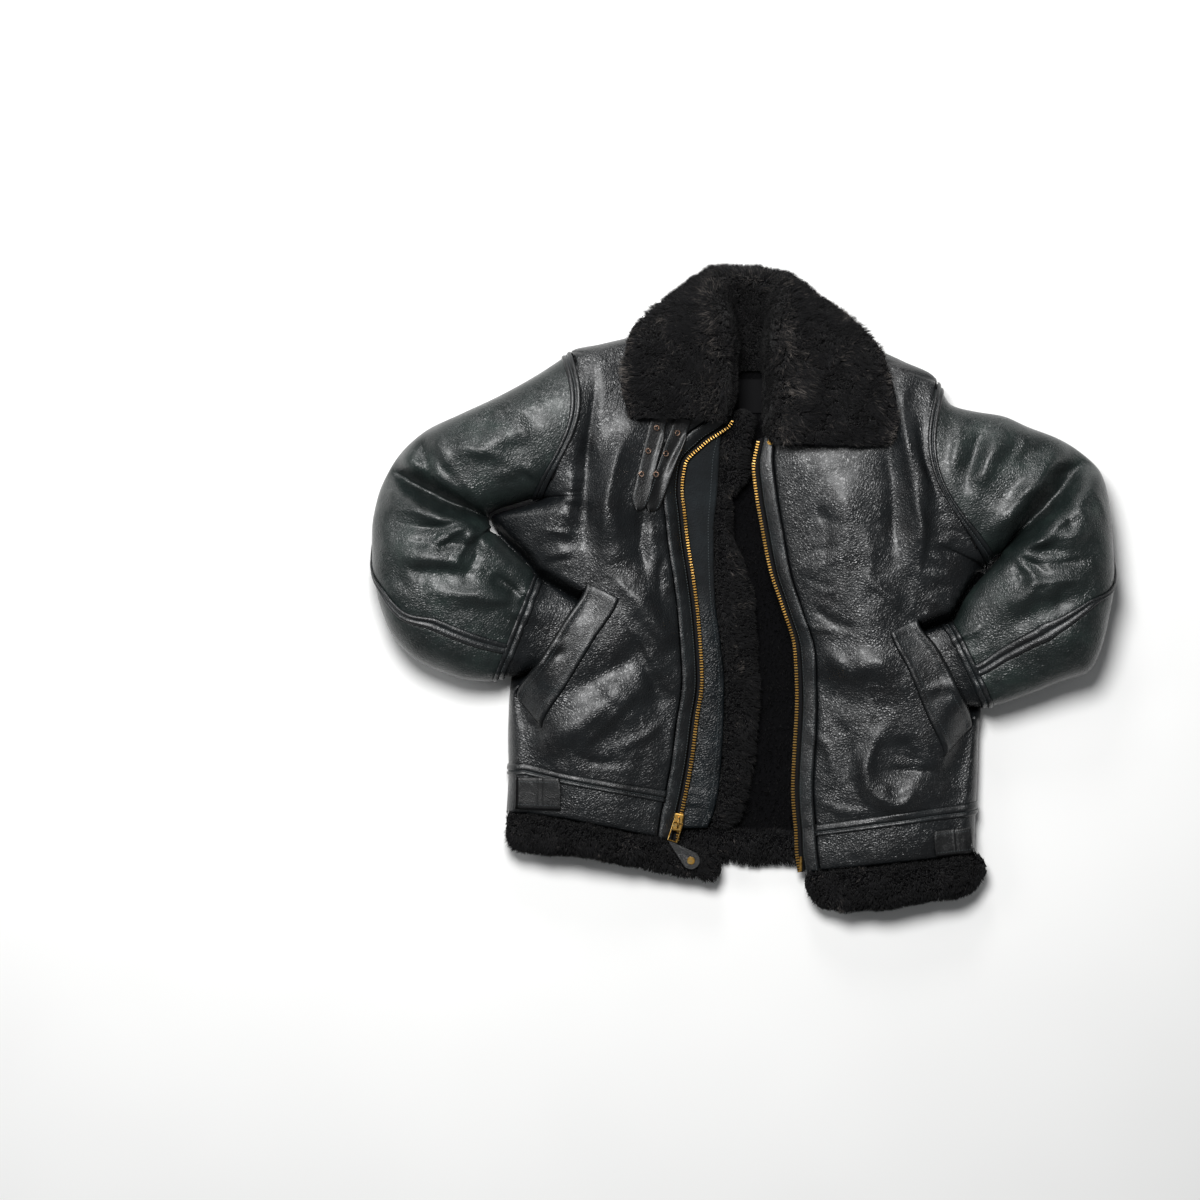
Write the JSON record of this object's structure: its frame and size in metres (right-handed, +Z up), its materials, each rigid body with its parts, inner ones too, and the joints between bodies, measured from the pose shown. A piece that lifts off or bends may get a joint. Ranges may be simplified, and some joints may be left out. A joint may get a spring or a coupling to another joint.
{
  "type": "sheepskin flying jacket",
  "caption": "A sheepskin flying jacket lying open on its back, with a worn-wool collar and hem and both cuffs tucked into slanted pockets",
  "frame": {"origin": "On the floor under the middle of the back, where the jacket rests", "axes": "X runs across the jacket to the wearer's left, Y from hem to collar, Z up from the floor"},
  "size_m": [0.9685, 0.8395, 0.111],
  "materials": {
    "leather": "grained, semi-gloss",
    "sleeve_leather": "grained, semi-gloss",
    "leather_tape": "smooth, semi-gloss",
    "wool": "clipped fleece, matt",
    "strap": "smooth leather",
    "eyelet_metal": "aged",
    "brass": "polished, worn",
    "label": "woven, matt"
  },
  "bodies": {
    "jacket": {"adjuster_tab_left": "strap", "adjuster_tab_right": "strap", "armhole_tape_left": "leather_tape", "armhole_tape_right": "leather_tape", "back_panel": "leather", "collar_leather": "leather", "collar_strap_lower": "strap", "collar_strap_upper": "strap", "collar_wool": "wool", "cuff_left": "leather", "cuff_right": "leather", "cuff_tape_left": "leather_tape", "cuff_tape_right": "leather_tape", "front_left": "leather", "front_right": "leather", "hem_wool_back": "wool", "hem_wool_left": "wool", "hem_wool_right": "wool", "neck_label": "label", "pocket_welt_left": "leather_tape", "pocket_welt_right": "leather_tape", "sleeve_tape_left": "leather_tape", "sleeve_tape_right": "leather_tape", "sleeve_top_left": "sleeve_leather", "sleeve_top_right": "sleeve_leather", "sleeve_under_left": "sleeve_leather", "sleeve_under_right": "sleeve_leather", "strap_eyelet_1_1": "eyelet_metal", "strap_eyelet_1_2": "eyelet_metal", "strap_eyelet_1_3": "eyelet_metal", "strap_eyelet_2_1": "eyelet_metal", "strap_eyelet_2_2": "eyelet_metal", "strap_eyelet_2_3": "eyelet_metal", "throat_snap": "brass", "waist_tape_left": "leather_tape", "waist_tape_right": "leather_tape", "waistband_back": "leather", "waistband_left": "leather", "waistband_right": "leather", "wind_flap": "leather", "wind_flap_wool": "wool", "zip_end_pin": "brass", "zip_facing_left": "leather_tape", "zip_facing_right": "leather_tape", "zip_slider": "brass", "zip_slider_bail": "brass", "zip_tape_left": "brass", "zip_tape_right": "brass"},
    "pull": {"zip_pull": "brass", "pull_tab": "strap", "pull_tab_rivet": "brass"}
  },
  "joints": [
    {"name": "pull_hinge", "type": "hinge", "parent": "jacket", "child": "pull", "pos_m": [-0.0865, -0.302, 0.0352], "axis": [-0.9511, 0.309, 0], "range_deg": [0, 140]}
  ]
}
